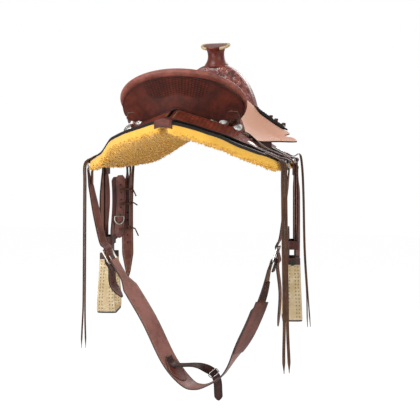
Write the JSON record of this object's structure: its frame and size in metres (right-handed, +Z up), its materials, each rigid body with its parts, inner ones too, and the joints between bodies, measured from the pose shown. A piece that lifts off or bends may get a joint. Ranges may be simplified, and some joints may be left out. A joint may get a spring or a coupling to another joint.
{
  "type": "wade saddle",
  "caption": "Western ranch saddle with slick fork, tall capped horn, rolled cantle, square skirts, rawhide stirrups and a flank cinch hanging below.",
  "frame": {"origin": "on the centre line where the saddle sits over a back or a rack, under the middle of the seat", "axes": "+Z up, +Y towards the horse's head, +X towards the off (right) side"},
  "size_m": [0.6774, 0.6573, 1.1195],
  "materials": {
    "leather": "oiled and rubbed",
    "tooled_leather": "basket stamped, oiled",
    "dark_leather": "black oiled edge, rough underside",
    "rough_out": "rough side out",
    "wool": "woolskin pile",
    "rawhide": "dry rawhide",
    "steel": "stainless, brushed",
    "wood": "rawhide-covered wood"
  },
  "bodies": {
    "saddle": {"skirt_left": "dark_leather", "skirt_right": "dark_leather", "sheepskin_left": "wool", "sheepskin_right": "wool", "skirt_connector": "leather", "tree_bar_left": "wood", "tree_bar_right": "wood", "ground_seat": "leather", "seat": "rough_out", "rear_jockey_left": "leather", "rear_jockey_right": "leather", "front_jockey_left": "dark_leather", "front_jockey_right": "dark_leather", "tree_fork": "wood", "fork_cover": "leather", "horn_cap": "leather", "horn_wrap": "leather", "horn_post": "steel", "horn_rim_lacing": "rawhide", "cantle_roll": "leather", "tree_cantle": "wood", "cantle_back": "tooled_leather", "leather_hanger_left": "leather", "leather_hanger_right": "leather", "front_rigging_left": "dark_leather", "front_rigging_right": "dark_leather", "rear_rigging_left": "dark_leather", "rear_rigging_right": "dark_leather", "rear_dee_left": "steel", "rear_dee_right": "steel", "string_rear_left": "leather", "string_rear_right": "leather", "string_front_left": "leather", "string_front_right": "leather", "concho_rear_left": "steel", "concho_rear_right": "steel", "concho_front_left": "steel", "concho_front_right": "steel"},
    "leg_left": {"fender_left": "rough_out", "stirrup_leather_left": "leather", "hobble_strap_left": "leather", "stirrup_bolt_left": "steel"},
    "leg_right": {"fender_right": "rough_out", "stirrup_leather_right": "leather", "hobble_strap_right": "leather", "stirrup_bolt_right": "steel"},
    "stirrup_left": {"stirrup_left": "rawhide"},
    "stirrup_right": {"stirrup_right": "rawhide"},
    "flank_set": {"flank_billet_left": "leather", "flank_billet_right": "leather", "flank_buckle_left": "steel", "flank_buckle_right": "steel", "buckle_tongue_left": "steel", "buckle_tongue_right": "steel", "flank_cinch": "leather"},
    "connector": {"cinch_connector": "dark_leather"},
    "front_dee_left": {"front_dee_left": "steel"},
    "front_dee_right": {"front_dee_right": "steel"},
    "latigo": {"latigo_left": "leather"},
    "off_billet": {"off_billet_right": "leather"}
  },
  "joints": [
    {"name": "fender_swing_left", "type": "hinge", "parent": "saddle", "child": "leg_left", "pos_m": [-0.3052, -0.031, -0.055], "axis": [0.9781, 0.2079, 0], "range_deg": [-6, 15]},
    {"name": "fender_swing_right", "type": "hinge", "parent": "saddle", "child": "leg_right", "pos_m": [0.3052, -0.029, -0.055], "axis": [0.9781, 0.2079, 0], "range_deg": [-7, 7]},
    {"name": "stirrup_swing_left", "type": "hinge", "parent": "leg_left", "child": "stirrup_left", "pos_m": [-0.2959, -0.02902, -0.338], "axis": [-0.2079, 0.9781, 0], "range_deg": [-40, 40]},
    {"name": "stirrup_swing_right", "type": "hinge", "parent": "leg_right", "child": "stirrup_right", "pos_m": [0.2959, -0.03098, -0.338], "axis": [-0.2079, 0.9781, 0], "range_deg": [-40, 40]},
    {"name": "flank_cinch_swing", "type": "hinge", "parent": "saddle", "child": "flank_set", "pos_m": [0, -0.165, -0.033], "axis": [1, 0, 0], "range_deg": [-9, 3]},
    {"name": "connector_swing", "type": "hinge", "parent": "flank_set", "child": "connector", "pos_m": [-0.05295, -0.16749, -0.61736], "axis": [0.2807, 0.9449, 0.1684], "range_deg": [-20, 0]},
    {"name": "front_dee_swing_left", "type": "hinge", "parent": "saddle", "child": "front_dee_left", "pos_m": [-0.2835, 0.118, -0.03], "axis": [0, 1, 0], "range_deg": [0, 50]},
    {"name": "front_dee_swing_right", "type": "hinge", "parent": "saddle", "child": "front_dee_right", "pos_m": [0.2835, 0.118, -0.03], "axis": [0, 1, 0], "range_deg": [-50, 0]},
    {"name": "latigo_swing", "type": "hinge", "parent": "front_dee_left", "child": "latigo", "pos_m": [-0.2835, 0.118, -0.054], "axis": [0, 1, 0], "range_deg": [-6, 25]},
    {"name": "off_billet_swing", "type": "hinge", "parent": "front_dee_right", "child": "off_billet", "pos_m": [0.2835, 0.118, -0.054], "axis": [0, 1, 0], "range_deg": [-25, 6]}
  ]
}
